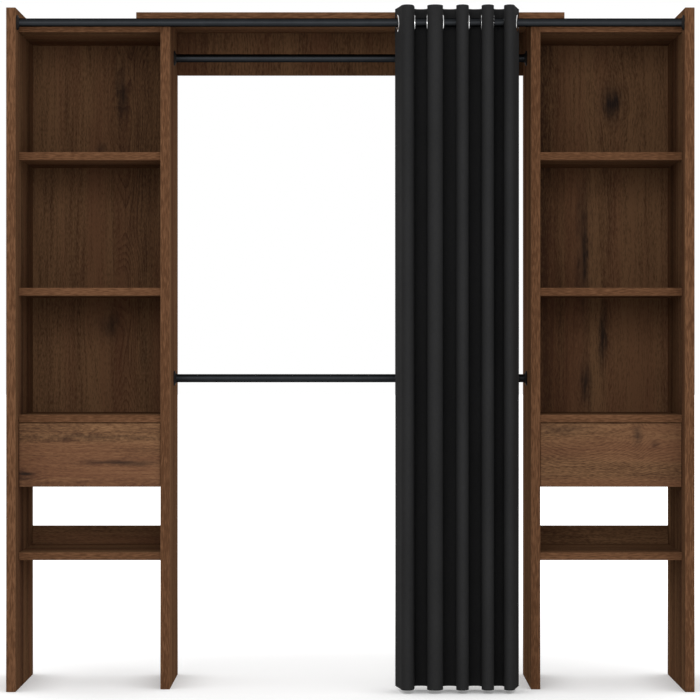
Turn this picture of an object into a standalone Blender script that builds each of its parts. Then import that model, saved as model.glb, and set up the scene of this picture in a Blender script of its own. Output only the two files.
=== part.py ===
"""Curtain wardrobe: two shelf columns, a hanging bay between them and a curtain on a front rod.

Metres, +Z up, the front towards -Y. The origin is under the middle of the whole outline.
"""

import math

import bmesh
import bpy
from mathutils import Matrix, Vector

# Clearances
seat_gap = 0.0003
cut_overrun = 0.004

# Boards
side_board = 0.028
shelf_board = 0.0232
plank_board = 0.0195
back_board = 0.004
rail_board = 0.018
board_edge = 0.0006
board_edge_steps = 1

# Widths and depth of the carcass
column_width = 0.4252
hanging_bay_width = 1.0804
side_depth = 0.500
plank_overhang = 0.0725
shelf_recess = 0.010

# Heights, stacked from the floor to the top of the outer sides
floor_bay_height = 0.3858
drawer_gap_height = 0.1965
drawer_front_height = 0.1903
drawer_top_reveal = 0.0024
lower_niche_height = 0.3568
middle_niche_height = 0.3832
top_niche_height = 0.3594
plank_lift = 0.0159
outer_side_rise = 0.0060
rear_rail_height = 0.0571
fascia_height = 0.1322

# Curtain rod and hanging rods
rod_radius = 0.0125
rod_wall = 0.0012
curtain_rod_setback = 0.030
curtain_rod_drop = 0.0418
hanging_rod_drop = 0.0983
hanging_rod_spacing = 0.979
hanging_rod_setback = 0.285
rod_sides = 32

# Cup flanges that hold the rods
flange_radius = 0.0225
flange_plate = 0.004
flange_shoulder = 0.003
flange_collar_wall = 0.0028
flange_collar_length = 0.004
flange_steps = 32

# Curtain
cloth_thickness = 0.0014
stack_width = 0.346
stack_inset = 0.0483
heading_rise = 0.0445
hem_clearance = 0.0109
front_fold_wall = 0.0613
front_turn_depth = 0.026
back_turn_depth = 0.016
edge_flare = 0.0103
column_clearance = 0.0025
crossing_shares = (0, 0.124, 0.2475, 0.37, 0.4935, 0.5925, 0.709, 0.81, 0.906, 1)
turn_steps = 8
edge_steps = 4

# Eyelets, gripped in the cloth and hung on the rod
eyelet_inner_radius = 0.0150
eyelet_lip = 0.0055
eyelet_neck = 0.0045
eyelet_plate = 0.0030
eyelet_steps = 20

# Drawers
drawer_front_board = 0.018
drawer_side_board = 0.012
drawer_bottom_board = 0.004
drawer_side_reveal = 0.0015
drawer_box_height = 0.130
drawer_box_depth = 0.350
drawer_box_lift = 0.022
drawer_bottom_lift = 0.012
groove_depth = 0.006

# Drawer runners
runner_space = 0.0127
runner_height = 0.035
runner_depth = 0.0105
runner_sheet = 0.0015
runner_lip = 0.006
runner_play = 0.0004
runner_lift = 0.040

# Finishes: colour, roughness and metallic value
walnut = ((0.115, 0.058, 0.033), 0.55, 0.0)
walnut_back = ((0.072, 0.038, 0.023), 0.6, 0.0)
black_steel = ((0.012, 0.012, 0.013), 0.38, 0.6)
zinc = ((0.42, 0.42, 0.43), 0.35, 1.0)
eyelet_metal = ((0.55, 0.55, 0.55), 0.25, 1.0)
black_cloth = ((0.022, 0.022, 0.023), 0.9, 0.0)
drawer_lining = ((0.09, 0.05, 0.03), 0.6, 0.0)

# Heights worked out from the stack
base_shelf_under = floor_bay_height
base_shelf_top = base_shelf_under + shelf_board
drawer_under = base_shelf_top + drawer_gap_height
drawer_top = drawer_under + drawer_front_height
cover_board_under = drawer_top + drawer_top_reveal
lower_shelf_under = cover_board_under + shelf_board + lower_niche_height
upper_shelf_under = lower_shelf_under + shelf_board + middle_niche_height
top_board_under = upper_shelf_under + shelf_board + top_niche_height
top_board_top = top_board_under + shelf_board
plank_under = top_board_top + plank_lift
plank_top = plank_under + plank_board
side_top = plank_top + outer_side_rise

# Widths worked out from the middle
bay_edge = hanging_bay_width / 2
column_inner = bay_edge + side_board
column_outer = column_inner + column_width
wardrobe_edge = column_outer + side_board

# The runners are as long as the drawer's sides
runner_length = drawer_box_depth - seat_gap

# The curtain's places
eyelet_groove_radius = eyelet_inner_radius + eyelet_neck
eyelet_radius = eyelet_groove_radius + eyelet_lip
curtain_rod_height = side_top - curtain_rod_drop
eyelet_height = curtain_rod_height - (eyelet_inner_radius - rod_radius - seat_gap)
curtain_top = curtain_rod_height + heading_rise
back_wall_end = eyelet_radius + seat_gap
back_fold_depth = back_wall_end + back_turn_depth
front_fold_depth = front_fold_wall + front_turn_depth
stack_right = bay_edge - stack_inset
stack_left = stack_right - stack_width
crossings = [stack_left + stack_width * share for share in crossing_shares]

# Depths, from the front edge of the outer sides; the middle of the whole outline is at zero
curtain_proud = max(0, front_fold_depth + cloth_thickness / 2 - curtain_rod_setback)
whole_depth = side_depth + curtain_proud
outer_front = curtain_proud - whole_depth / 2
side_back = outer_front + side_depth
curtain_rod_place = outer_front + curtain_rod_setback
inner_front = curtain_rod_place + back_fold_depth + cloth_thickness / 2 + column_clearance
shelf_front = inner_front + shelf_recess
back_front = side_back - back_board
hanging_rod_place = outer_front + hanging_rod_setback

parts = bpy.data.collections.new("curtain_wardrobe")
cutters = bpy.data.collections.new("cutters")
quarter_turn = math.pi / 2


def clear_scene():
    """Remove the objects that Blender starts with, and set up the two collections."""
    for old in list(bpy.data.objects):
        bpy.data.objects.remove(old, do_unlink=True)
    bpy.context.scene.collection.children.link(parts)
    bpy.context.scene.collection.children.link(cutters)


def give_material(obj, finish):
    """A Principled material of the object's own, from a colour, a roughness and a metallic value."""
    colour, roughness, metallic = finish
    material = bpy.data.materials.new(obj.name + "_finish")
    material.use_nodes = True
    shader = material.node_tree.nodes["Principled BSDF"]
    shader.inputs["Base Color"].default_value = (*colour, 1)
    shader.inputs["Roughness"].default_value = roughness
    shader.inputs["Metallic"].default_value = metallic
    material.diffuse_color = (*colour, 1)
    obj.data.materials.append(material)


def add_object(name, data, place, finish, parent=None):
    """Put a mesh or curve in the parts collection, at a place in the wardrobe."""
    obj = bpy.data.objects.new(name, data)
    parts.objects.link(obj)
    obj.location = place
    if parent:
        obj.parent = parent
        obj.location = Vector(place) - parent.location
    give_material(obj, finish)
    return obj


def make_empty(name, place):
    """An empty that carries the pieces of one moving assembly."""
    empty = bpy.data.objects.new(name, None)
    parts.objects.link(empty)
    empty.location = place
    return empty


def box_mesh(name, size):
    """A box of the given size round its own middle."""
    mesh = bpy.data.meshes.new(name)
    shape = bmesh.new()
    bmesh.ops.create_cube(shape, size=1, matrix=Matrix.Diagonal((*size, 1)))
    shape.to_mesh(mesh)
    shape.free()
    return mesh


def add_board(name, x_span, y_span, z_span, finish=walnut, parent=None):
    """A board between two places on each axis, its edges slightly rounded."""
    spans = (x_span, y_span, z_span)
    size = [high - low for low, high in spans]
    place = [(low + high) / 2 for low, high in spans]
    board = add_object(name, box_mesh(name, size), place, finish, parent)
    rounding = board.modifiers.new("edges", "BEVEL")
    rounding.width = board_edge
    rounding.segments = board_edge_steps
    return board


def turned_mesh(name, profile, closed):
    """A profile of radius and height pairs, as edges to turn about the local Z axis."""
    mesh = bpy.data.meshes.new(name)
    points = [(radius, 0, height) for radius, height in profile]
    edges = [(i, i + 1) for i in range(len(points) - 1)]
    if closed:
        edges.append((len(points) - 1, 0))
    mesh.from_pydata(points, edges, [])
    return mesh


def add_turned(name, profile, closed, steps, place, turn, finish, parent=None):
    """A turned piece whose local Z axis lies along the wardrobe's width."""
    piece = add_object(name, turned_mesh(name, profile, closed), place, finish, parent)
    piece.rotation_euler = (0, turn, 0)
    screw = piece.modifiers.new("turn", "SCREW")
    screw.steps = steps
    screw.render_steps = steps
    screw.use_merge_vertices = not closed
    screw.merge_threshold = seat_gap / 10
    screw.use_smooth_shade = False
    return piece


def column_span(side):
    """The clear width of one column, less the seat gap at each end."""
    ends = (side * (column_inner + seat_gap), side * (column_outer - seat_gap))
    return min(ends), max(ends)


def upright_span(side, inner_face):
    """The thickness of an upright whose face nearer the middle is inner_face."""
    ends = (side * inner_face, side * (inner_face + side_board))
    return min(ends), max(ends)


def build_uprights():
    """The four uprights: the outer ones stand further forward and higher."""
    for word, side in (("left", -1), ("right", 1)):
        add_board(
            word + "_outer_side",
            upright_span(side, column_outer),
            (outer_front, side_back),
            (0, side_top),
        )
        add_board(
            word + "_inner_side",
            upright_span(side, bay_edge),
            (inner_front, side_back),
            (0, plank_under - seat_gap),
        )


def build_column(word, side):
    """Shelves, top board, base shelf, rear rail and back of one column."""
    span = column_span(side)
    shelves = {
        "_top_board": top_board_under,
        "_upper_shelf": upper_shelf_under,
        "_lower_shelf": lower_shelf_under,
        "_drawer_cover": cover_board_under,
    }
    for ending, under in shelves.items():
        add_board(
            word + ending,
            span,
            (shelf_front, back_front - seat_gap),
            (under, under + shelf_board),
        )
    add_board(
        word + "_base_shelf",
        span,
        (shelf_front, side_back),
        (base_shelf_under, base_shelf_top),
    )
    add_board(
        word + "_rear_rail",
        span,
        (side_back - rail_board, side_back),
        (base_shelf_top + seat_gap, base_shelf_top + seat_gap + rear_rail_height),
    )
    add_board(
        word + "_back_panel",
        span,
        (back_front, side_back),
        (drawer_under, top_board_top),
        walnut_back,
    )


def build_hanging_bay():
    """The plank that ties the two columns together, and the fascia under its rear edge."""
    plank_end = column_inner + plank_overhang
    add_board(
        "top_plank",
        (-plank_end, plank_end),
        (inner_front, side_back),
        (plank_under, plank_top),
    )
    fascia_top = plank_under - seat_gap
    add_board(
        "rear_fascia",
        (seat_gap - bay_edge, bay_edge - seat_gap),
        (side_back - rail_board, side_back),
        (fascia_top - fascia_height, fascia_top),
        walnut_back,
    )


def flange_profile():
    """Half outline of a cup flange: plate, shoulder and collar with a blind bore."""
    bore = rod_radius + seat_gap
    collar = bore + flange_collar_wall
    mouth = flange_plate + flange_collar_length
    return [
        (0, flange_plate),
        (bore, flange_plate),
        (bore, mouth),
        (collar, mouth),
        (collar, flange_plate + flange_shoulder),
        (flange_radius, flange_plate),
        (flange_radius, 0),
        (0, 0),
    ]


def build_rod(name, face, depth_place, height):
    """A steel tube along the width between two uprights, with a cup flange at each end."""
    half_length = face - seat_gap - flange_plate - seat_gap
    rod_bore = rod_radius - rod_wall
    tube = [
        (rod_radius, half_length),
        (rod_radius, -half_length),
        (rod_bore, -half_length),
        (rod_bore, half_length),
    ]
    place = (0, depth_place, height)
    add_turned(name, tube, True, rod_sides, place, quarter_turn, black_steel)
    for word, side in (("left", -1), ("right", 1)):
        add_turned(
            name + "_" + word + "_flange",
            flange_profile(),
            False,
            flange_steps,
            (side * (face - seat_gap), depth_place, height),
            -side * quarter_turn,
            black_steel,
        )


def build_rods():
    """The curtain rod at the front and the two hanging rods, one above the other."""
    upper_height = plank_under - hanging_rod_drop
    lower_height = upper_height - hanging_rod_spacing
    build_rod("curtain_rod", column_outer, curtain_rod_place, curtain_rod_height)
    build_rod("upper_hanging_rod", bay_edge, hanging_rod_place, upper_height)
    build_rod("lower_hanging_rod", bay_edge, hanging_rod_place, lower_height)


def grooved(board, slot_size, slot_place):
    """Cut the groove that takes the drawer bottom."""
    slot = bpy.data.objects.new(board.name + "_groove", box_mesh("groove", slot_size))
    cutters.objects.link(slot)
    slot.location = slot_place
    slot.hide_render = True
    slot.display_type = "WIRE"
    cut = board.modifiers.new("groove", "BOOLEAN")
    cut.operation = "DIFFERENCE"
    cut.solver = "EXACT"
    cut.object = slot


def runner_outline():
    """The fixed runner's channel, from its upright towards the drawer."""
    half = runner_height / 2
    inside = runner_depth - runner_sheet
    return [
        (0, -half),
        (runner_depth, -half),
        (runner_depth, runner_lip - half),
        (inside, runner_lip - half),
        (inside, runner_sheet - half),
        (runner_sheet, runner_sheet - half),
        (runner_sheet, half - runner_sheet),
        (inside, half - runner_sheet),
        (inside, half - runner_lip),
        (runner_depth, half - runner_lip),
        (runner_depth, half),
        (0, half),
    ]


def slide_outline():
    """The drawer's own rail: a head held in the channel and a web out to the drawer side."""
    head = runner_height / 2 - runner_sheet - runner_play
    web = runner_height / 2 - runner_lip - runner_play
    back = runner_sheet + runner_play
    shoulder = runner_depth - runner_sheet - runner_play
    end = runner_space - seat_gap - seat_gap
    return [
        (back, -head),
        (shoulder, -head),
        (shoulder, -web),
        (end, -web),
        (end, web),
        (shoulder, web),
        (shoulder, head),
        (back, head),
    ]


def add_rail(name, outline, mirror, place, parent=None):
    """A steel section along the depth: outline pairs are distance from the upright and height."""
    curve = bpy.data.curves.new(name, "CURVE")
    curve.dimensions = "2D"
    curve.fill_mode = "BOTH"
    curve.extrude = runner_length / 2
    spline = curve.splines.new("POLY")
    spline.points.add(len(outline) - 1)
    for point, (out, up) in zip(spline.points, outline):
        point.co = (mirror * out, up, 0, 1)
    spline.use_cyclic_u = True
    rail = add_object(name, curve, place, zinc, parent)
    rail.rotation_euler = (quarter_turn, 0, 0)


def build_drawer(word, side):
    """One drawer box with its front, running on a pair of side runners."""
    low, high = column_span(side)
    low -= seat_gap
    high += seat_gap
    middle = (low + high) / 2
    box_front = shelf_front + drawer_front_board
    box_low = drawer_under + drawer_box_lift
    box_high = box_low + drawer_box_height
    box_back = box_front + drawer_box_depth
    carriage = make_empty(word + "_drawer", (middle, box_front, drawer_under))
    front = add_board(
        word + "_drawer_front",
        (low + drawer_side_reveal, high - drawer_side_reveal),
        (shelf_front, box_front),
        (drawer_under, drawer_top),
        walnut,
        carriage,
    )
    left_face = low + runner_space
    right_face = high - runner_space
    side_depth_span = (box_front + seat_gap, box_back)
    box_height_span = (box_low, box_high)
    left = add_board(
        word + "_drawer_left_side",
        (left_face, left_face + drawer_side_board),
        side_depth_span,
        box_height_span,
        drawer_lining,
        carriage,
    )
    right = add_board(
        word + "_drawer_right_side",
        (right_face - drawer_side_board, right_face),
        side_depth_span,
        box_height_span,
        drawer_lining,
        carriage,
    )
    inside_left = left_face + drawer_side_board
    inside_right = right_face - drawer_side_board
    inside_back = box_back - drawer_side_board
    back = add_board(
        word + "_drawer_back",
        (inside_left + seat_gap, inside_right - seat_gap),
        (inside_back, box_back),
        box_height_span,
        drawer_lining,
        carriage,
    )
    reach = groove_depth - seat_gap
    bottom_low = box_low + drawer_bottom_lift
    bottom_spans = (
        (inside_left - reach, inside_right + reach),
        (box_front - reach, inside_back + reach),
        (bottom_low, bottom_low + drawer_bottom_board),
    )
    add_board(word + "_drawer_bottom", *bottom_spans, drawer_lining, carriage)
    slot_size = [end - start + 2 * seat_gap for start, end in bottom_spans]
    slot_place = [(start + end) / 2 for start, end in bottom_spans]
    for board in (front, left, right, back):
        grooved(board, slot_size, slot_place)
    rail_height = box_low + runner_lift
    rail_middle = box_front + seat_gap + runner_length / 2
    for hand, face, mirror in (("left", low, 1), ("right", high, -1)):
        place = (face + mirror * seat_gap, rail_middle, rail_height)
        add_rail(
            word + "_drawer_" + hand + "_runner", runner_outline(), mirror, place
        )
        add_rail(
            word + "_drawer_" + hand + "_slide", slide_outline(), mirror, place, carriage
        )


def curtain_path():
    """The curtain's plan as points from its left edge to its right edge.

    It crosses the rod at each eyelet in a straight wall, with a front turn after every
    first crossing of a pair and a back turn after every second. Each free edge flares
    outwards behind the rod.
    """
    front_turn = -front_fold_wall
    points = []
    for i in range(edge_steps):
        angle = quarter_turn * (1 - i / edge_steps)
        out = edge_flare * (1 - math.cos(angle))
        back = back_wall_end + back_turn_depth * math.sin(angle)
        points.append((crossings[0] - out, back))
    points.append((crossings[0], back_wall_end))
    for number in range(len(crossings) - 1):
        here, there = crossings[number], crossings[number + 1]
        middle, half = (here + there) / 2, (there - here) / 2
        is_front = number % 2 == 0
        start = front_turn if is_front else back_wall_end
        reach = -front_turn_depth if is_front else back_turn_depth
        for i in range(turn_steps + 1):
            angle = math.pi * i / turn_steps
            across = middle - half * math.cos(angle)
            points.append((across, start + reach * math.sin(angle)))
    points.append((crossings[-1], back_wall_end))
    for i in range(1, edge_steps + 1):
        angle = quarter_turn * i / edge_steps
        out = edge_flare * (1 - math.cos(angle))
        back = back_wall_end + back_turn_depth * math.sin(angle)
        points.append((crossings[-1] + out, back))
    return points


def build_curtain():
    """The hanging cloth with its main folds, holed for the eyelets, and the ten eyelets."""
    carriage = make_empty("curtain", (crossings[-1], curtain_rod_place, curtain_rod_height))
    mesh = bpy.data.meshes.new("curtain_cloth")
    shape = bmesh.new()
    foot = [shape.verts.new((x, y, hem_clearance)) for x, y in curtain_path()]
    head = [shape.verts.new((x, y, curtain_top)) for x, y in curtain_path()]
    for i in range(len(foot) - 1):
        shape.faces.new((foot[i], foot[i + 1], head[i + 1], head[i]))
    shape.to_mesh(mesh)
    shape.free()
    cloth = add_object(
        "curtain_cloth", mesh, (0, curtain_rod_place, 0), black_cloth, carriage
    )
    shell = cloth.modifiers.new("thickness", "SOLIDIFY")
    shell.thickness = cloth_thickness
    shell.offset = 0
    shell.use_even_offset = True
    cut_eyelet_holes(cloth)
    for number, place in enumerate(crossings, 1):
        add_turned(
            "eyelet_" + str(number),
            eyelet_profile(),
            True,
            eyelet_steps,
            (place, curtain_rod_place, eyelet_height),
            quarter_turn,
            eyelet_metal,
            carriage,
        )


def cut_eyelet_holes(cloth):
    """One round cutter along the rod holes every wall of the folds at once."""
    mesh = bpy.data.meshes.new("eyelet_holes")
    shape = bmesh.new()
    length = stack_width + 2 * (cut_overrun + cloth_thickness)
    along_width = Matrix.Rotation(quarter_turn, 4, "Y")
    bmesh.ops.create_cone(
        shape,
        cap_ends=True,
        segments=eyelet_steps,
        radius1=eyelet_groove_radius + seat_gap,
        radius2=eyelet_groove_radius + seat_gap,
        depth=length,
        matrix=along_width,
    )
    shape.to_mesh(mesh)
    shape.free()
    cutter = bpy.data.objects.new("eyelet_holes", mesh)
    cutters.objects.link(cutter)
    cutter.location = ((crossings[0] + crossings[-1]) / 2, curtain_rod_place, eyelet_height)
    cutter.hide_render = True
    cutter.display_type = "WIRE"
    cut = cloth.modifiers.new("eyelet_holes", "BOOLEAN")
    cut.operation = "DIFFERENCE"
    cut.solver = "EXACT"
    cut.object = cutter


def eyelet_profile():
    """Ring section with a groove round it, in which the edge of the cloth's hole sits."""
    slot = cloth_thickness / 2 + seat_gap
    face = slot + eyelet_plate
    return [
        (eyelet_inner_radius, face),
        (eyelet_radius, face),
        (eyelet_radius, slot),
        (eyelet_groove_radius, slot),
        (eyelet_groove_radius, -slot),
        (eyelet_radius, -slot),
        (eyelet_radius, -face),
        (eyelet_inner_radius, -face),
    ]


clear_scene()
build_uprights()
for column_word, column_side in (("left", -1), ("right", 1)):
    build_column(column_word, column_side)
    build_drawer(column_word, column_side)
build_hanging_bay()
build_rods()
build_curtain()
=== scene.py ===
"""The looks of the curtain wardrobe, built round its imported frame.

Metres, +Z up, the front towards -Y, as in the frame.
"""

import math

import bmesh
import bpy
from mathutils import Matrix, Vector


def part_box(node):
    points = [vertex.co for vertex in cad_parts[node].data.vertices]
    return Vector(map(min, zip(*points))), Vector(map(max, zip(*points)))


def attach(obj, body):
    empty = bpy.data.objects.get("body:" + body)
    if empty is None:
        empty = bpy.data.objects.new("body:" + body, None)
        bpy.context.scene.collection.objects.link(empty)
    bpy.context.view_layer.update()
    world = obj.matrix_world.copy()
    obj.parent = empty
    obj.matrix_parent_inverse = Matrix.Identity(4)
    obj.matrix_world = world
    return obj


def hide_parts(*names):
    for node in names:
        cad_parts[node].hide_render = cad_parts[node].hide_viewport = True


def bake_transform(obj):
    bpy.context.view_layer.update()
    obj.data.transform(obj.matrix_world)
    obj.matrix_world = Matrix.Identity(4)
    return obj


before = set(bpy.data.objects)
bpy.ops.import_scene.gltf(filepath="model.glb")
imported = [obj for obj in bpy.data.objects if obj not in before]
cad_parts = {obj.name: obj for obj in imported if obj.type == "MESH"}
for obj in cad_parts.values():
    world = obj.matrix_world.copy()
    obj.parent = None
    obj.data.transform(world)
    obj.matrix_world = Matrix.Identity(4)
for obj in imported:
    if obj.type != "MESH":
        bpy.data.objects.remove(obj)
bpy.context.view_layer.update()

# The photograph's camera, this far in front of the outer sides
camera_distance = 9.06
camera_height = 1.0153
camera_shift = -0.0005
view_width = 2.0769
sensor = 36.0

# Lamps: name, place, width and height, power
lamp_target = (0, 0, 1.0)
lamps = (
    ("key", (-0.6, -6.5, 2.5), (3.0, 2.0), 95),
    ("fill", (3.2, -5.5, 1.6), (3.0, 3.0), 30),
)

# The white world: full strength where it is seen, and this much on the object
world_light = 0.85

# Floor: its glow rises to white with the distance from the middle, and is less near the pieces
floor_size = 120
floor_grey = 0.72
glow_range = (0.8, 4.0)
glow_strength = (0.45, 1.0)
# Painted shadow: ambient occlusion dims the glow near the pieces, within this reach, to this least
# share
painted_shade_reach = 0.14
painted_shade_least = 0.2
painted_shade_samples = 4

# Axes, for the way that a board's grain runs and the way that its large faces look
X, Y, Z = range(3)

# Walnut colours, and where they stand on the scale of the figure and of the banding
walnut_dark = (0.050, 0.025, 0.0148)
walnut_mid = (0.099, 0.051, 0.0260)
walnut_light = (0.152, 0.081, 0.041)
walnut_red = (0.112, 0.047, 0.026)
walnut_stops = (0.47, 0.61, 0.75)
knot_brown = (0.026, 0.018, 0.015)
banding_dark = (0.098, 0.045, 0.0220)
banding_light = (0.182, 0.088, 0.0445)
banding_stops = (0.43, 0.60)

# Noise has this share of its waves along the grain: in the wood, at knots and in the banding
grain_stretch = 0.05
knot_stretch = 0.30
banding_stretch = 0.12

# How the grain's lines wander across it: waves per metre, and reach
wander = ((5.0, 0.09), (38.0, 0.012))

# Waves per metre of the broad stripes; and of the finer grain across, along and through the
# board, once its length is drawn in by grain_stretch
stripe_waves = 8.0
streak_waves = (110.0, 80.0, 110.0)
fibre_waves = (380.0, 1500.0, 380.0)

# What each layer adds to the figure
figure_base = 0.175
streak_share = 0.45
fibre_share = 0.50
ring_share = -0.19

# A red tone comes in by patches: waves per metre, the noise from none to all of it, its share
blush_waves = 14.0
blush_range = (0.46, 0.66)
blush_share = 0.45

# Flame figure: growth rings that stand off a heart line, drawn to and fro along the grain.
# They fade by patches, and far from the heart only flame_rest of them is left.
ring_pitch = 0.0105
ring_sharpness = 3.0
heart_blunting = 0.010
flame_waves = 2.4
flame_reach = 0.32
flame_width = 0.10
flame_rest = 0.25
fading_waves = 12.0
fading_range = (0.38, 0.62)

# A knot's ragged stain, stronger between light streaks, and the bend of the grain round it
ragged_waves = 55.0
ragged_reach = 3.6
stain_fall = 0.7
stain_streaks = (0.35, 0.65, 1.15, 0.55)
bend_fall = 0.14
bend_pull = 0.55

# Edge banding: on faces that look this much to the front or the back, fine fibres over soft bands
banding_facing = 0.75
banding_waves = 360.0
banding_soft_waves = 16.0
banding_fine_share = 0.65

# A board's relief is this much fibre, and streaks for the rest
relief_fibre_share = 0.6

# A seed of 1 moves the figure this far
seed_steps = (3.1, 1.7, 2.3)

# Knots: place across and along the grain, half width, half length, depth of the stain
left_back_knots = (
    (-0.719, 1.826, 0.014, 0.062, 0.80),
    (-0.776, 1.648, 0.012, 0.014, 0.60),
    (-0.752, 1.093, 0.022, 0.030, 0.80),
    (-0.640, 1.010, 0.012, 0.050, 0.30),
)
right_back_knots = (
    (0.812, 1.786, 0.026, 0.042, 0.95),
    (0.716, 1.330, 0.018, 0.150, 0.95),
    (0.782, 1.060, 0.014, 0.070, 0.90),
    (0.728, 0.905, 0.016, 0.050, 0.85),
)
left_front_knots = (
    (0.690, -0.680, 0.009, 0.110, 0.80),
    (0.762, -0.770, 0.004, 0.150, 0.60),
    (0.652, -0.975, 0.015, 0.026, 0.90),
    (0.622, -0.880, 0.006, 0.080, 0.35),
)
right_front_knots = (
    (0.757, 0.860, 0.026, 0.011, 0.85),
    (0.736, 0.913, 0.010, 0.012, 0.60),
    (0.780, 0.640, 0.010, 0.060, 0.40),
)

# The figure of each column's back panel and drawer front
back_looks = {
    "left": dict(tone=1.28, seed=3.3, heart=-0.70, stripes=0.44, knots=left_back_knots),
    "right": dict(tone=1.28, seed=9.6, heart=0.86, stripes=0.56, knots=right_back_knots),
}
front_looks = {
    "left": dict(tone=1.61, seed=1.9, heart=0.655, stripes=0.44, knots=left_front_knots),
    "right": dict(tone=1.42, seed=8.3, heart=0.752, stripes=0.52, knots=right_front_knots),
}

# Colours of the other materials
steel_black = (0.0180, 0.0195, 0.0215)
moulding_black = (0.0210, 0.0190, 0.0185)
zinc_dark = (0.30, 0.30, 0.31)
zinc_light = (0.55, 0.55, 0.57)
nickel_dark = (0.60, 0.60, 0.60)
nickel_light = (0.78, 0.78, 0.78)
cloth_black = (0.0245, 0.0245, 0.0250)

# Zinc: waves per metre of the drawn marks, and their share of the tint over the spangle
drawn_waves = (500.0, 12.0, 500.0)
drawn_share = 0.4

# Weave: the pitch of its threads, waves per metre across and along a slub, and those of a cloud
# over both; then what each way's slubs and the cloud add to the tint, and threads to the relief
weave_pitch = 0.0011
slub_fine = 900.0
slub_long = 60.0
cloud_waves = (9.0, 4.0, 1.0)
slub_share = 0.35
cloud_share = 0.3
thread_share = 0.5

# The back panels reach this much into the gaps beside them
back_tongue = 0.00025

# Round pieces: steps round the axis, and the sharpest edge in degrees that is shaded smooth
round_steps = 64
smooth_angle = 35
merge_distance = 1e-6

# Rods, and the cup flanges that hold them. The fillet's points stand off the collar and the plate.
rod_wall = 0.0012
flange_play = 0.0002
flange_plate = 0.004
flange_plate_round = 0.0011
flange_collar_wall = 0.0026
flange_collar_round = 0.0010
flange_mouth_bevel = 0.0006
flange_fillet = ((0.0003, 0.0018), (0.0011, 0.0008), (0.0026, 0.0002))

# The middle of a rounded corner stands this share of its radius inside the sharp one
corner_cut = 0.3

# Eyelets: half the height at the rim, and the dome's share of the solid's half thickness
eyelet_inner_radius = 0.0150
eyelet_seam = 0.0009
eyelet_dome_share = 0.60
dome_steps = 8

# How each eyelet hangs: its shift along the rod from its solid, and in degrees about the upright
# the turn of the eyelet, of the wall round it and of the wall's front stretch
eyelet_hang = (
    (-0.0046, 9.5, 9.5, 9.5),
    (0.0020, 1.0, 0.0, -6.1),
    (-0.0018, -3.5, -1.0, -3.5),
    (0.0010, 4.0, 0.0, -1.4),
    (0.0008, -1.0, -1.5, -7.0),
    (0.0010, 2.0, 0.0, -4.0),
    (0.0000, -2.8, -1.0, -5.0),
    (0.0000, -1.5, -0.5, -2.0),
    (0.0000, -4.5, -1.0, -9.0),
    (0.0042, -10.0, -10.0, -10.0),
)

# Curtain cloth. Its walls reach front_fold_wall before the rod's axis, and behind it
# back_wall_play further than the eyelets do. The turns join them with their own depths.
cloth_thickness = 0.0012
front_fold_wall = 0.0523
front_turn_depth = 0.035
back_wall_play = 0.0003
back_turn_depth = 0.016

# The free edges run this far back from the end walls, and flare this far out from them
edge_depth = 0.0135
lead_flare = 0.0077
tail_flare = 0.0081

# Hems and heading, and how far past a seam its thickness reaches
hem_thickness = 0.0022
heading_depth = 0.085
bottom_hem = 0.050
side_hem = 0.022
seam_reach = 0.001

# Holes for the eyelets; the rim's points are drawn in from this much further out
eyelet_hole_radius = 0.0215
hole_rim = 0.006

# The turns sway towards the hem: how far out and along the rod, and radians per metre of cloth
# and from heading to hem
sway_out = 0.0018
sway_aside = 0.4
sway_run = 23.0
sway_drop = 2.1

# The cloth's mesh in plan
wall_steps = 12
turn_steps = 14
edge_steps = 6

# The cloth's rows: at the heading, across the eyelets, beside a seam, in the plain stretch
# between the seams, and above the foot
heading_rows = 3
heading_row_gap = 0.0015
eyelet_rows = 14
least_row_gap = 0.001
seam_row_gap = 0.002
plain_rows = 36
plain_top_gap = 0.03
plain_foot_gap = 0.02
foot_rows = (0.02, 0.004, 0.0)


def toned(colour, share):
    return [channel * share for channel in colour]


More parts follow.
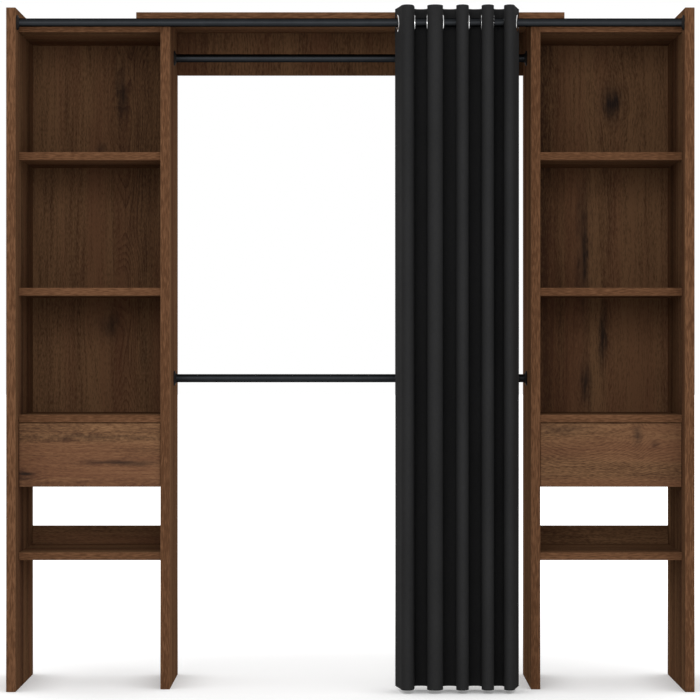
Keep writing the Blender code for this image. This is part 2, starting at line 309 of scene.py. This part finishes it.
class NodeSheet:
    """A material's node tree, with short calls for the nodes that these surfaces use."""

    def __init__(self, name):
        self.material = bpy.data.materials.new(name)
        self.material.use_nodes = True
        self.tree = self.material.node_tree
        self.shader = self.tree.nodes["Principled BSDF"]
        self.coordinates = self.tree.nodes.new("ShaderNodeTexCoord")

    def put(self, value, socket):
        """Link an output to a socket, or set the socket to a plain value."""
        if isinstance(value, bpy.types.NodeSocket):
            self.tree.links.new(value, socket)
        else:
            socket.default_value = value

    def shade(self, name, value):
        """Put an output or a plain value on the shader's own socket of that name."""
        self.put(value, self.shader.inputs[name])

    def paint(self, factor, *stops):
        """Base colour by factor: stops are pairs of place and colour."""
        self.shade("Base Color", self.ramp(factor, stops))

    def roughen(self, factor, base, spread):
        """Roughness from the base up to the spread above it, by factor."""
        self.shade("Roughness", self.math("MULTIPLY_ADD", factor, spread, base))

    def bump(self, height, strength, distance):
        node = self.tree.nodes.new("ShaderNodeBump")
        node.inputs["Strength"].default_value = strength
        node.inputs["Distance"].default_value = distance
        self.put(height, node.inputs["Height"])
        self.shade("Normal", node.outputs["Normal"])

    def math(self, operation, first, second=0.0, third=None):
        node = self.tree.nodes.new("ShaderNodeMath")
        node.operation = operation
        self.put(first, node.inputs[0])
        self.put(second, node.inputs[1])
        if third is not None:
            self.put(third, node.inputs[2])
        return node.outputs[0]

    def weigh(self, first, second, share):
        """That share of the first value and the rest of the second."""
        return self.math("MULTIPLY_ADD", first, share, self.math("MULTIPLY", second, 1 - share))

    def scaled(self, vector, scale, offset=(0, 0, 0)):
        """A vector times a scale on each axis, moved by an offset."""
        node = self.tree.nodes.new("ShaderNodeMapping")
        self.put(vector, node.inputs["Vector"])
        node.inputs["Scale"].default_value = scale
        node.inputs["Location"].default_value = offset
        return node.outputs["Vector"]

    def noise(self, vector, scale=1.0, detail=2.0, roughness=0.5):
        node = self.tree.nodes.new("ShaderNodeTexNoise")
        self.put(vector, node.inputs["Vector"])
        node.inputs["Scale"].default_value = scale
        node.inputs["Detail"].default_value = detail
        node.inputs["Roughness"].default_value = roughness
        return node.outputs["Fac"]

    def ramp(self, factor, stops):
        """Colours by factor: stops are pairs of place and colour."""
        node = self.tree.nodes.new("ShaderNodeValToRGB")
        self.put(factor, node.inputs["Fac"])
        elements = node.color_ramp.elements
        while len(elements) < len(stops):
            elements.new(1.0)
        for element, (place, colour) in zip(elements, stops):
            element.position = place
            element.color = (*colour, 1)
        return node.outputs["Color"]

    def level(self, factor, low, high, to_low=0.0, to_high=1.0):
        """Map a range to another, held at its ends."""
        node = self.tree.nodes.new("ShaderNodeMapRange")
        self.put(factor, node.inputs["Value"])
        node.inputs["From Min"].default_value = low
        node.inputs["From Max"].default_value = high
        node.inputs["To Min"].default_value = to_low
        node.inputs["To Max"].default_value = to_high
        return node.outputs["Result"]

    def mix(self, factor, first, second):
        """Two colours mixed by factor; each is an output or a plain colour with alpha."""
        node = self.tree.nodes.new("ShaderNodeMix")
        node.data_type = "RGBA"
        self.put(factor, node.inputs["Factor"])
        self.put(first, node.inputs[6])
        self.put(second, node.inputs[7])
        return node.outputs[2]

    def axes(self, vector):
        node = self.tree.nodes.new("ShaderNodeSeparateXYZ")
        self.put(vector, node.inputs[0])
        return node.outputs

    def join(self, x, y, z):
        node = self.tree.nodes.new("ShaderNodeCombineXYZ")
        for value, socket in zip((x, y, z), node.inputs):
            self.put(value, socket)
        return node.outputs[0]


class WalnutSheet(NodeSheet):
    """A walnut board's node tree, with the layers of its figure."""

    def __init__(self, name, grain, facing, seed):
        super().__init__(name)
        self.grain = grain
        self.place = self.coordinates.outputs["Object"]
        parts = self.axes(self.place)
        self.along = parts[grain]
        self.across = parts[X + Y + Z - grain - facing]
        self.through = parts[facing]
        self.shift = [seed * step for step in seed_steps]

    def field(self, waves, stretch=grain_stretch, **settings):
        """Noise drawn out along the grain, in waves per metre across it."""
        size = [waves, waves, waves]
        size[self.grain] = waves * stretch
        return self.noise(self.scaled(self.place, size, self.shift), **settings)

    def offset(self, value, size):
        """A noise value's distance from its middle, times a size."""
        return self.math("MULTIPLY", self.math("SUBTRACT", value, 0.5), size)

    def falling(self, square, fall):
        """1 at the middle, and less with the square of the distance."""
        return self.math("EXPONENT", self.math("MULTIPLY", square, -fall))

    def lines(self):
        """The place across the grain, as the grain's lines wander."""
        place = self.across
        for waves, reach in wander:
            place = self.math("ADD", place, self.offset(self.field(waves), reach))
        return place

    def knotted(self, lines, knots):
        """The lines bent round the knots, and the knots' stain."""
        noise = self.field(ragged_waves, knot_stretch, detail=4.0, roughness=0.65)
        rough = self.offset(noise, ragged_reach)
        stain = 0.0
        for knot_across, knot_along, half_width, half_length, depth in knots:
            aside = self.math("SUBTRACT", lines, knot_across)
            beyond = self.math("SUBTRACT", self.along, knot_along)
            wide = self.math("MULTIPLY", aside, 1 / half_width)
            long = self.math("MULTIPLY", beyond, 1 / half_length)
            long_square = self.math("MULTIPLY", long, long)
            square = self.math("MULTIPLY_ADD", wide, wide, long_square)
            ragged = self.math("ADD", wide, rough)
            ragged_square = self.math("MULTIPLY_ADD", ragged, ragged, long_square)
            near = self.falling(ragged_square, stain_fall)
            stain = self.math("MULTIPLY_ADD", near, depth, stain)
            around = self.math("MULTIPLY", aside, self.falling(square, bend_fall))
            pull = self.math("MULTIPLY", around, -bend_pull)
            lines = self.math("ADD", lines, pull)
        return lines, stain

    def flames(self, lines, heart):
        """Growth rings round the heart line, dark towards each ring's end."""
        aside = self.math("SUBTRACT", lines, heart)
        square = self.math("MULTIPLY_ADD", aside, aside, heart_blunting**2)
        drift = self.offset(self.field(flame_waves, 1.0, detail=1.0), flame_reach)
        rings = self.math("ADD", self.math("SQRT", square), drift)
        rings = self.math("FRACT", self.math("MULTIPLY", rings, 1 / ring_pitch))
        nearness = self.falling(square, 1 / flame_width**2)
        fading = self.level(self.field(fading_waves), *fading_range)
        share = self.math("MULTIPLY_ADD", nearness, 1 - flame_rest, flame_rest)
        strength = self.math("MULTIPLY", fading, share)
        return self.math("MULTIPLY", self.math("POWER", rings, ring_sharpness), strength)

    def banded(self, face):
        """The face's colour, with plain banding where it looks to the front or the back."""
        normal = self.axes(self.coordinates.outputs["Normal"])
        towards = self.math("GREATER_THAN", self.math("ABSOLUTE", normal[Y]), banding_facing)
        fine = self.field(banding_waves, banding_stretch, detail=3.0)
        soft = self.field(banding_soft_waves, detail=3.0)
        tint = self.weigh(fine, soft, banding_fine_share)
        edge = self.ramp(tint, tuple(zip(banding_stops, (banding_dark, banding_light))))
        return self.mix(towards, face, edge)


def walnut(
    name, grain, facing, tone=1.4, seed=0.0, heart=-0.6, knots=(), banded=True, stripes=0.42
):
    """Walnut-effect board. grain and facing are axes, as above.

    tone lightens the colours, seed moves the figure, heart is where the flames stand across the
    grain, knots are rows as above, and stripes is the contrast of the broad stripes. A banded
    board has plain banding on its front and rear edges.
    """
    sheet = WalnutSheet(name, grain, facing, seed)
    lines, stain = sheet.knotted(sheet.lines(), knots)
    rings = sheet.flames(lines, heart)

    # Finer grain follows the bent lines
    flow = sheet.join(lines, sheet.math("MULTIPLY", sheet.along, grain_stretch), sheet.through)
    streak = sheet.noise(sheet.scaled(flow, streak_waves, sheet.shift), detail=3.0, roughness=0.7)
    fibre = sheet.noise(sheet.scaled(flow, fibre_waves, sheet.shift))

    broad = sheet.offset(sheet.field(stripe_waves, detail=3.0, roughness=0.6), stripes)
    figure = sheet.math("ADD", broad, figure_base)
    for layer, share in ((streak, streak_share), (fibre, fibre_share), (rings, ring_share)):
        figure = sheet.math("MULTIPLY_ADD", layer, share, figure)
    browns = [toned(colour, tone) for colour in (walnut_dark, walnut_mid, walnut_light)]
    face = sheet.ramp(figure, tuple(zip(walnut_stops, browns)))
    blush = sheet.level(sheet.field(blush_waves), *blush_range, 0.0, blush_share)
    face = sheet.mix(blush, face, (*toned(walnut_red, tone), 1))
    if knots:
        smudge = sheet.math("MULTIPLY", stain, sheet.level(streak, *stain_streaks))
        face = sheet.mix(smudge, face, (*knot_brown, 1))
    if banded:
        face = sheet.banded(face)

    sheet.shade("Base Color", face)
    sheet.roughen(streak, base=0.50, spread=0.18)
    sheet.shade("Specular IOR Level", 0.0)
    sheet.bump(sheet.weigh(fibre, streak, relief_fibre_share), strength=0.16, distance=0.0004)
    return sheet.material


def black_steel():
    """Satin black steel with a fine orange peel, and painted dark reflection where seen edge-on.
    """
    sheet = NodeSheet("satin_black_steel")
    place = sheet.coordinates.outputs["Object"]
    peel = sheet.noise(place, scale=900.0)
    cloud = sheet.noise(place, scale=30.0)
    sheet.paint(cloud, (0.3, steel_black), (0.8, toned(steel_black, 1.25)))
    sheet.roughen(cloud, base=0.34, spread=0.12)
    sheet.shade("Metallic", 1.0)
    # Painted dark reflection: the black edge tint darkens what the steel reflects at grazing
    # angles
    sheet.shade("Specular Tint", (0, 0, 0, 1))
    sheet.bump(peel, strength=0.10, distance=0.0002)
    return sheet.material


def black_moulding():
    """Dull black plastic with a fine spark-eroded grain."""
    sheet = NodeSheet("black_moulding")
    spark = sheet.noise(sheet.coordinates.outputs["Object"], scale=1400.0)
    sheet.paint(spark, (0.3, toned(moulding_black, 0.8)), (0.7, moulding_black))
    sheet.roughen(spark, base=0.60, spread=0.15)
    sheet.shade("Specular IOR Level", 0.03)
    sheet.bump(spark, strength=0.10, distance=0.0001)
    return sheet.material


def zinc():
    """Zinc-plated sheet with drawn marks along it."""
    sheet = NodeSheet("zinc_sheet")
    place = sheet.coordinates.outputs["Object"]
    drawn = sheet.noise(sheet.scaled(place, drawn_waves), detail=3.0)
    spangle = sheet.noise(place, scale=60.0)
    tint = sheet.weigh(drawn, spangle, drawn_share)
    sheet.paint(tint, (0.3, zinc_dark), (0.7, zinc_light))
    sheet.roughen(drawn, base=0.28, spread=0.2)
    sheet.shade("Metallic", 1.0)
    sheet.bump(drawn, strength=0.08, distance=0.0002)
    return sheet.material


def nickel():
    """Bright nickel with a faint haze from use."""
    sheet = NodeSheet("bright_nickel")
    haze = sheet.noise(sheet.coordinates.outputs["Object"], scale=240.0, detail=3.0)
    sheet.paint(haze, (0.3, nickel_dark), (0.7, nickel_light))
    sheet.roughen(haze, base=0.10, spread=0.12)
    sheet.shade("Metallic", 1.0)
    return sheet.material


def fabric():
    """Matte black polyester with a plain weave; the map's units are metres of cloth."""
    sheet = NodeSheet("black_weave")
    place = sheet.coordinates.outputs["UV"]
    parts = sheet.axes(place)
    warp = sheet.math("SINE", sheet.math("MULTIPLY", parts[X], 2 * math.pi / weave_pitch))
    weft = sheet.math("SINE", sheet.math("MULTIPLY", parts[Y], 2 * math.pi / weave_pitch))
    weave = sheet.math("MULTIPLY", warp, weft)
    slub = sheet.noise(sheet.scaled(place, (slub_fine, slub_long, 1.0)))
    slub_across = sheet.noise(sheet.scaled(place, (slub_long, slub_fine, 1.0)))
    cloud = sheet.noise(sheet.scaled(place, cloud_waves), detail=3.0)
    tint = sheet.math("MULTIPLY", slub_across, slub_share)
    tint = sheet.math("MULTIPLY_ADD", slub, slub_share, tint)
    tint = sheet.math("MULTIPLY_ADD", cloud, cloud_share, tint)
    sheet.paint(tint, (0.30, toned(cloth_black, 0.72)), (0.70, toned(cloth_black, 1.28)))
    sheet.shade("Roughness", 0.92)
    sheet.shade("Specular IOR Level", 0.045)
    height = sheet.math("MULTIPLY_ADD", weave, thread_share, slub)
    sheet.bump(height, strength=0.12, distance=0.0003)
    return sheet.material


def set_material(obj, material):
    obj.data.materials.clear()
    obj.data.materials.append(material)


def middle(node):
    low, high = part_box(node)
    return (Vector(low) + Vector(high)) / 2


def make_object(name, shape):
    """An object from a bmesh, linked to the scene."""
    mesh = bpy.data.meshes.new(name)
    shape.to_mesh(mesh)
    shape.free()
    obj = bpy.data.objects.new(name, mesh)
    bpy.context.scene.collection.objects.link(obj)
    return obj


def turned(name, profile, place, turn, closed, yaw=0.0):
    """A piece turned from pairs of radius and height, its axis along the width.

    yaw swings it about the upright through its place.
    """
    shape = bmesh.new()
    verts = [shape.verts.new((radius, 0, height)) for radius, height in profile]
    edges = [shape.edges.new(pair) for pair in zip(verts, verts[1:])]
    if closed:
        edges.append(shape.edges.new((verts[-1], verts[0])))
    bmesh.ops.spin(
        shape,
        geom=verts + edges,
        axis=(0, 0, 1),
        cent=(0, 0, 0),
        steps=round_steps,
        angle=2 * math.pi,
        use_duplicate=False,
    )
    bmesh.ops.remove_doubles(shape, verts=shape.verts, dist=merge_distance)
    bmesh.ops.recalc_face_normals(shape, faces=shape.faces)
    bmesh.ops.transform(
        shape,
        matrix=Matrix.Translation(place)
        @ Matrix.Rotation(yaw, 4, "Z")
        @ Matrix.Rotation(turn, 4, "Y"),
        verts=shape.verts,
    )
    obj = make_object(name, shape)
    obj.data.shade_smooth()
    obj.data.set_sharp_from_angle(angle=math.radians(smooth_angle))
    return obj


def dress_boards():
    """Give every board that stays from the frame its walnut, by the way its grain runs."""
    upright = walnut("walnut_upright", Z, X, tone=1.44, stripes=0.8)
    level = walnut("walnut_level", X, Z, seed=0.7)
    rail = walnut("walnut_rail", X, Y, tone=1.3, seed=4.6, banded=False)
    fascia = walnut("walnut_fascia", Z, Y, tone=1.2, seed=2.7, heart=-0.25, banded=False)
    lining = walnut("lining_side", Y, X, tone=1.1, seed=5.2, banded=False)
    lining_back = walnut("lining_back", X, Y, tone=1.1, seed=6.1, banded=False)
    lining_bottom = walnut("lining_bottom", Y, Z, tone=1.1, seed=7.4, banded=False)
    metal = zinc()
    groups = (
        (upright, ("outer_side", "inner_side")),
        (level, ("top_board", "upper_shelf", "lower_shelf", "drawer_cover", "base_shelf")),
        (rail, ("rear_rail",)),
        (lining, ("drawer_left_side", "drawer_right_side")),
        (lining_back, ("drawer_back",)),
        (lining_bottom, ("drawer_bottom",)),
        (metal, ("drawer_left_runner", "drawer_right_runner")),
        (metal, ("drawer_left_slide", "drawer_right_slide")),
    )
    for word in ("left", "right"):
        for material, endings in groups:
            for ending in endings:
                set_material(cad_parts[word + "_" + ending], material)
        front = walnut(word + "_walnut_front", X, Y, banded=False, **front_looks[word])
        set_material(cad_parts[word + "_drawer_front"], front)
    set_material(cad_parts["top_plank"], level)
    set_material(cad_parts["rear_fascia"], fascia)


def make_backs():
    """The columns' back panels, let into the uprights so that no light comes past their ends."""
    for word in ("left", "right"):
        node = word + "_back_panel"
        low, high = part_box(node)
        size = Vector(high) - Vector(low)
        size.x += 2 * back_tongue
        shape = bmesh.new()
        bmesh.ops.create_cube(shape, size=1)
        bmesh.ops.scale(shape, vec=size, verts=shape.verts)
        bmesh.ops.translate(shape, vec=middle(node), verts=shape.verts)
        panel = make_object(word + "_back_board", shape)
        material = walnut(word + "_walnut_back", Z, Y, banded=False, **back_looks[word])
        set_material(panel, material)
        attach(panel, "wardrobe")
        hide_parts(node)


def make_rods(steel, moulding):
    """Round tubes and their cup flanges in place of the frame's plainer ones."""
    for rod in ("curtain_rod", "upper_hanging_rod", "lower_hanging_rod"):
        low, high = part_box(rod)
        radius = (high[2] - low[2]) / 2
        bore = radius - rod_wall
        half = (high[0] - low[0]) / 2
        profile = [(radius, half), (radius, -half), (bore, -half), (bore, half)]
        tube = turned(rod + "_tube", profile, middle(rod), math.pi / 2, True)
        set_material(tube, steel)
        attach(tube, "wardrobe")
        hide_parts(rod)
        for word, side in (("left", -1), ("right", 1)):
            node = rod + "_" + word + "_flange"
            make_flange(node, side, radius, moulding)


def make_flange(node, side, rod_radius, moulding):
    """A cup flange with a rounded plate and collar."""
    low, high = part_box(node)
    outer = (high[2] - low[2]) / 2
    length = high[0] - low[0]
    bore = rod_radius + flange_play
    collar = bore + flange_collar_wall
    cut = flange_plate_round * corner_cut
    profile = [
        (0, flange_plate - flange_play),
        (bore, flange_plate - flange_play),
        (bore, length - flange_mouth_bevel),
        (bore + flange_mouth_bevel, length),
        (collar - flange_collar_round, length),
        (collar, length - flange_collar_round),
        *[(collar + out, flange_plate + up) for out, up in flange_fillet],
        (outer - flange_plate_round, flange_plate),
        (outer - cut, flange_plate - cut),
        (outer, flange_plate - flange_plate_round),
        (outer, 0),
        (0, 0),
    ]
    face = high[0] if side > 0 else low[0]
    centre = middle(node)
    place = (face, centre.y, centre.z)
    flange = turned(node + "_cup", profile, place, -side * math.pi / 2, False)
    set_material(flange, moulding)
    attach(flange, "wardrobe")
    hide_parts(node)


def eyelet_profile(outer, half):
    """A dome on each side of the seam, highest near the hole."""
    profile = []
    for side in (1, -1):
        for i in range(dome_steps + 1)[::side]:
            angle = math.pi * i / dome_steps
            share = ((1 - math.cos(angle)) / 2) ** 2
            across = eyelet_inner_radius + (outer - eyelet_inner_radius) * share
            rise = eyelet_seam + eyelet_dome_share * half * math.sin(angle)
            profile.append((across, side * rise))
    return profile


def make_eyelets(metal):
    """Rolled rings, one on each eyelet's body."""
    for number, (shift, yaw, _, _) in enumerate(eyelet_hang, 1):
        node = "eyelet_" + str(number)
        low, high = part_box(node)
        profile = eyelet_profile((high[2] - low[2]) / 2, (high[0] - low[0]) / 2)
        centre = middle(node)
        centre.x += shift
        ring = turned(node + "_ring", profile, centre, math.pi / 2, True, math.radians(yaw))
        set_material(ring, metal)
        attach(ring, "curtain" if number == 10 else "ring_" + str(number))
        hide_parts(node)


def curtain_columns(crossings, back_wall_end):
    """The cloth's plan, as points with the wall that each lies on, or None."""
    columns = []
    last = len(crossings) - 1

    def add(x, y, wall=None):
        columns.append((x, y, wall))

    def wall_place(number, y):
        """Where a wall stands along the rod, at a distance behind the rod's axis."""
        near = max(y, -back_wall_end)
        slope, front_slope = (math.tan(math.radians(turn)) for turn in eyelet_hang[number][2:])
        return crossings[number] - slope * near - front_slope * (y - near)

    def add_edge(step, flare, number):
        """From the back end of an end wall out to the cloth's free edge."""
        share = step / edge_steps
        start = wall_place(number, back_wall_end)
        out = crossings[number] + flare - start
        add(start + out * share, back_wall_end + edge_depth * share)

    for step in range(edge_steps, 0, -1):
        add_edge(step, -lead_flare, 0)
    for number in range(last + 1):
        towards_front = number % 2 == 0
        wall_start = back_wall_end if towards_front else -back_wall_end
        for i in range(wall_steps + 1):
            y = wall_start - 2 * wall_start * (i / wall_steps)
            add(wall_place(number, y), y, number)
        if number == last:
            break
        if towards_front:
            turn_place, reach = -front_fold_wall, -front_turn_depth
        else:
            turn_place, reach = back_wall_end, back_turn_depth
        start = wall_place(number, turn_place)
        half = (wall_place(number + 1, turn_place) - start) / 2
        for i in range(turn_steps + 1):
            # A back turn's ends are the walls' own ends
            if not towards_front and i in (0, turn_steps):
                continue
            angle = math.pi * i / turn_steps
            add(start + half - half * math.cos(angle), turn_place + reach * math.sin(angle))
    for step in range(1, edge_steps + 1):
        add_edge(step, tail_flare, last)
    return columns


def curtain_rows(top, foot, eyelet_height, radius):
    """Heights of the cloth's rows, close together round the eyelets and at the seams."""
    rows = [top - heading_row_gap * i for i in range(heading_rows)]
    step = 2 * radius / eyelet_rows
    band = [eyelet_height + radius - step * i for i in range(eyelet_rows + 1)]
    rows += [row for row in band if row < rows[-1] - least_row_gap]

    def beside(seam):
        return [seam + seam_row_gap, seam, seam - seam_row_gap]

    heading_seam = top - heading_depth
    hem_seam = foot + bottom_hem
    start = heading_seam - plain_top_gap
    drop = hem_seam + plain_foot_gap - start
    rows += beside(heading_seam)
    rows += [start + drop * i / plain_rows for i in range(plain_rows + 1)]
    rows += beside(hem_seam)
    rows += [foot + row for row in foot_rows]
    return rows


def lay_cloth(columns, rows, lengths, axis_y):
    """The cloth's surface, with a map in metres, and its points by row and column."""
    shape = bmesh.new()
    uv_layer = shape.loops.layers.uv.new("cloth")
    grid = []
    for height in rows:
        drop = (rows[0] - height) / (rows[0] - rows[-1])
        line = []
        for (x, y, wall), run in zip(columns, lengths):
            swing = 0.0
            if wall is None:
                swing = math.sin(run * sway_run + drop * sway_drop) * sway_out * drop
            line.append(shape.verts.new((x + swing * sway_aside, axis_y + y + swing, height)))
        grid.append(line)
    for i in range(len(rows) - 1):
        for j in range(len(columns) - 1):
            corners = ((i + 1, j), (i + 1, j + 1), (i, j + 1), (i, j))
            face = shape.faces.new([grid[row][column] for row, column in corners])
            for loop, (row, column) in zip(face.loops, corners):
                loop[uv_layer].uv = (lengths[column], rows[row])
    return shape, grid


def pierce(shape, grid, columns, rows, eyelet):
    """Open a round hole in each wall: inner faces go, and the rim is drawn to a circle."""
    inner = [
        grid[i][j]
        for i, height in enumerate(rows)
        for j, (_, y, wall) in enumerate(columns)
        if wall is not None and math.hypot(y, height - eyelet.z) < eyelet_hole_radius
    ]
    bmesh.ops.delete(shape, geom=inner, context="VERTS")
    for vert in shape.verts:
        if not vert.is_boundary:
            continue
        y = vert.co.y - eyelet.y
        z = vert.co.z - eyelet.z
        reach = math.hypot(y, z)
        if eyelet_hole_radius <= reach < eyelet_hole_radius + hole_rim:
            vert.co.y = eyelet.y + y / reach * eyelet_hole_radius
            vert.co.z = eyelet.z + z / reach * eyelet_hole_radius


def mark_hems(cloth, whole, top, foot):
    """Full weight where the cloth is turned over and sewn, none elsewhere."""
    group = cloth.vertex_groups.new(name="hem")
    uv = cloth.data.uv_layers["cloth"].data
    weights = {}
    for loop in cloth.data.loops:
        run, height = uv[loop.index].uv
        in_hem = (
            height > top - heading_depth - seam_reach
            or height < foot + bottom_hem + seam_reach
            or run < side_hem
            or run > whole - side_hem
        )
        weights[loop.vertex_index] = 1.0 if in_hem else 0.0
    for index, weight in weights.items():
        group.add([index], weight, "REPLACE")


def make_curtain(material):
    """The pleated cloth, pierced at the eyelets, hemmed on all sides."""
    low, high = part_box("curtain_cloth")
    crossings = [
        middle("eyelet_" + str(number)).x + hang[0] for number, hang in enumerate(eyelet_hang, 1)
    ]
    eyelet = middle("eyelet_1")
    eyelet_low, eyelet_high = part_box("eyelet_1")
    back_wall_end = (eyelet_high[2] - eyelet_low[2]) / 2 + back_wall_play
    columns = curtain_columns(crossings, back_wall_end)
    rows = curtain_rows(high[2], low[2], eyelet.z, back_wall_end)
    lengths = [0.0]
    for (x0, y0, _), (x1, y1, _) in zip(columns, columns[1:]):
        lengths.append(lengths[-1] + math.hypot(x1 - x0, y1 - y0))
    whole = lengths[-1]

    shape, grid = lay_cloth(columns, rows, lengths, eyelet.y)
    pierce(shape, grid, columns, rows, eyelet)
    cloth = make_object("curtain_sheet", shape)
    cloth.data.shade_smooth()
    mark_hems(cloth, whole, high[2], low[2])
    shell = cloth.modifiers.new("thickness", "SOLIDIFY")
    shell.thickness = hem_thickness
    shell.offset = -1
    shell.vertex_group = "hem"
    shell.thickness_vertex_group = cloth_thickness / hem_thickness
    set_material(cloth, material)
    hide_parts("curtain_cloth")
    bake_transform(cloth)


def seen_rays(tree):
    """1 for rays from the camera, a mirror or a clear surface, and 0 for the rest."""
    path = tree.nodes.new("ShaderNodeLightPath")
    seen = path.outputs["Is Camera Ray"]
    for kind in ("Is Glossy Ray", "Is Transmission Ray"):
        either = tree.nodes.new("ShaderNodeMath")
        either.operation = "MAXIMUM"
        tree.links.new(seen, either.inputs[0])
        tree.links.new(path.outputs[kind], either.inputs[1])
        seen = either.outputs[0]
    return seen


def make_stage():
    """A pale floor that runs back out of sight, and a white world."""
    bpy.ops.mesh.primitive_plane_add(size=floor_size, location=(0, 0, 0))
    floor = bpy.context.object
    floor.name = "floor"
    sheet = NodeSheet("floor_white")
    sheet.shade("Base Color", (floor_grey, floor_grey, floor_grey, 1))
    sheet.shade("Roughness", 1.0)
    sheet.shade("Specular IOR Level", 0.0)
    sheet.shade("Emission Color", (1, 1, 1, 1))
    away = sheet.axes(sheet.coordinates.outputs["Object"])
    square = sheet.math("MULTIPLY", away[X], away[X])
    square = sheet.math("MULTIPLY_ADD", away[Y], away[Y], square)
    glow = sheet.level(sheet.math("SQRT", square), *glow_range, *glow_strength)
    # Painted shadow: ambient occlusion darkens the floor's glow under and beside the pieces
    corner = sheet.tree.nodes.new("ShaderNodeAmbientOcclusion")
    corner.samples = painted_shade_samples
    corner.inputs["Distance"].default_value = painted_shade_reach
    painted_shade_share = sheet.math("MULTIPLY_ADD", corner.outputs["AO"], 1 - painted_shade_least, painted_shade_least)
    glow = sheet.math("MULTIPLY", glow, painted_shade_share)
    sheet.shade("Emission Strength", sheet.math("MULTIPLY", glow, seen_rays(sheet.tree)))
    set_material(floor, sheet.material)

    world = bpy.data.worlds.new("studio")
    bpy.context.scene.world = world
    world.use_nodes = True
    tree = world.node_tree
    background = tree.nodes["Background"]
    strength = tree.nodes.new("ShaderNodeMapRange")
    tree.links.new(seen_rays(tree), strength.inputs["Value"])
    strength.inputs["To Min"].default_value = world_light
    strength.inputs["To Max"].default_value = 1.0
    background.inputs["Color"].default_value = (1, 1, 1, 1)
    tree.links.new(strength.outputs["Result"], background.inputs["Strength"])


def make_lamps():
    for name, place, (width, height), power in lamps:
        data = bpy.data.lights.new(name, "AREA")
        data.shape = "RECTANGLE"
        data.size = width
        data.size_y = height
        data.energy = power
        lamp = bpy.data.objects.new(name, data)
        bpy.context.scene.collection.objects.link(lamp)
        lamp.location = place
        aim = Vector(lamp_target) - Vector(place)
        lamp.rotation_euler = aim.to_track_quat("-Z", "Y").to_euler()


def make_camera():
    data = bpy.data.cameras.new("photo_camera")
    data.sensor_width = sensor
    data.lens = sensor * camera_distance / view_width
    data.shift_x = camera_shift
    camera = bpy.data.objects.new("photo_camera", data)
    bpy.context.scene.collection.objects.link(camera)
    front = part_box("left_outer_side")[0][1]
    camera.location = (0, front - camera_distance, camera_height)
    camera.rotation_euler = (math.pi / 2, 0, 0)
    bpy.context.scene.camera = camera


bpy.context.scene.view_settings.view_transform = "Standard"
make_camera()
make_stage()
make_lamps()
dress_boards()
make_backs()
make_rods(black_steel(), black_moulding())
make_eyelets(nickel())
make_curtain(fabric())
